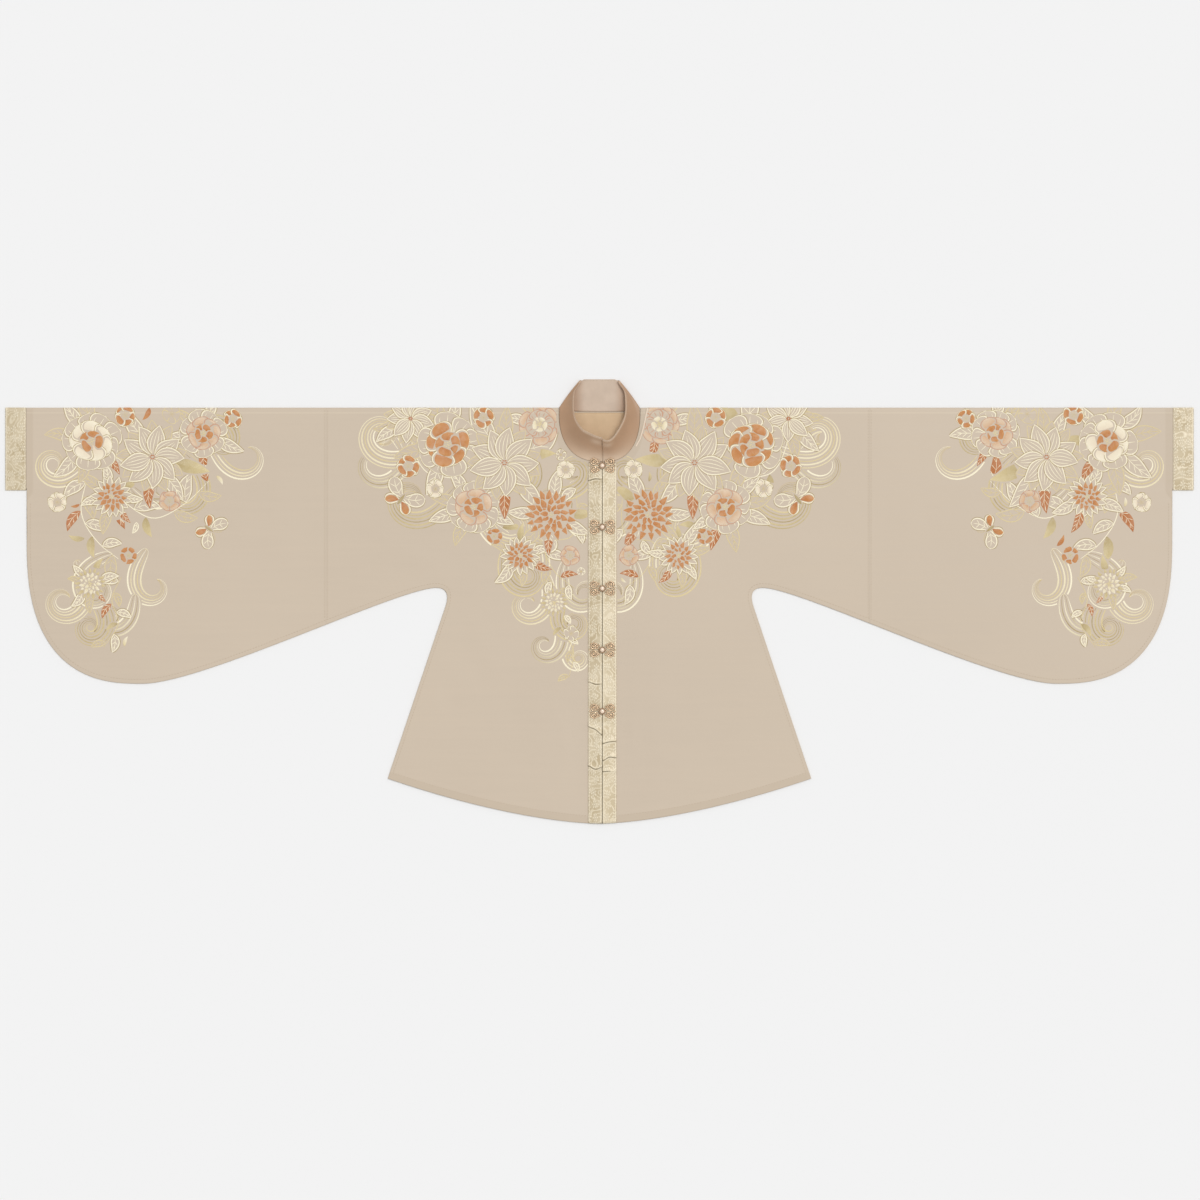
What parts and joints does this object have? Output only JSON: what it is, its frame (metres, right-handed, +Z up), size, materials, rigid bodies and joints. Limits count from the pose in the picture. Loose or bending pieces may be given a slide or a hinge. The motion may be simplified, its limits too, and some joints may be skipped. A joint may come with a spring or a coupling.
{
  "type": "hanfu jacket",
  "caption": "Flat-laid hanfu jacket with wide rounded sleeves, a standing collar, brocade cuffs and front bands, and metal clasps down the front.",
  "frame": {"origin": "middle of the underside's bounding box, on the surface the garment lies on", "axes": "+X across the sleeves to the viewer's right, +Y from the hem towards the collar, +Z up out of the cloth's front"},
  "size_m": [2.1, 0.7852, 0.0305],
  "materials": {
    "silk": "soft satin weave with embroidery in cream, gold and terracotta thread",
    "brocade": "woven gold brocade with a fine scroll repeat",
    "collar_satin": "brown satin",
    "lining": "plain golden-tan lining",
    "clasp": "rose-gold openwork metal"
  },
  "bodies": {
    "root": {"body_left": "silk", "body_right": "silk", "sleeve_left": "silk", "sleeve_right": "silk", "cuff_left": "brocade", "cuff_right": "brocade", "band_left": "brocade", "band_right": "brocade", "collar": "collar_satin", "back_lining": "lining", "clasp_1_left": "clasp", "clasp_1_right": "clasp", "clasp_1_button": "clasp", "clasp_2_left": "clasp", "clasp_2_right": "clasp", "clasp_2_button": "clasp", "clasp_3_left": "clasp", "clasp_3_right": "clasp", "clasp_3_button": "clasp", "clasp_4_left": "clasp", "clasp_4_right": "clasp", "clasp_4_button": "clasp", "clasp_5_left": "clasp", "clasp_5_right": "clasp", "clasp_5_button": "clasp"}
  },
  "joints": []
}
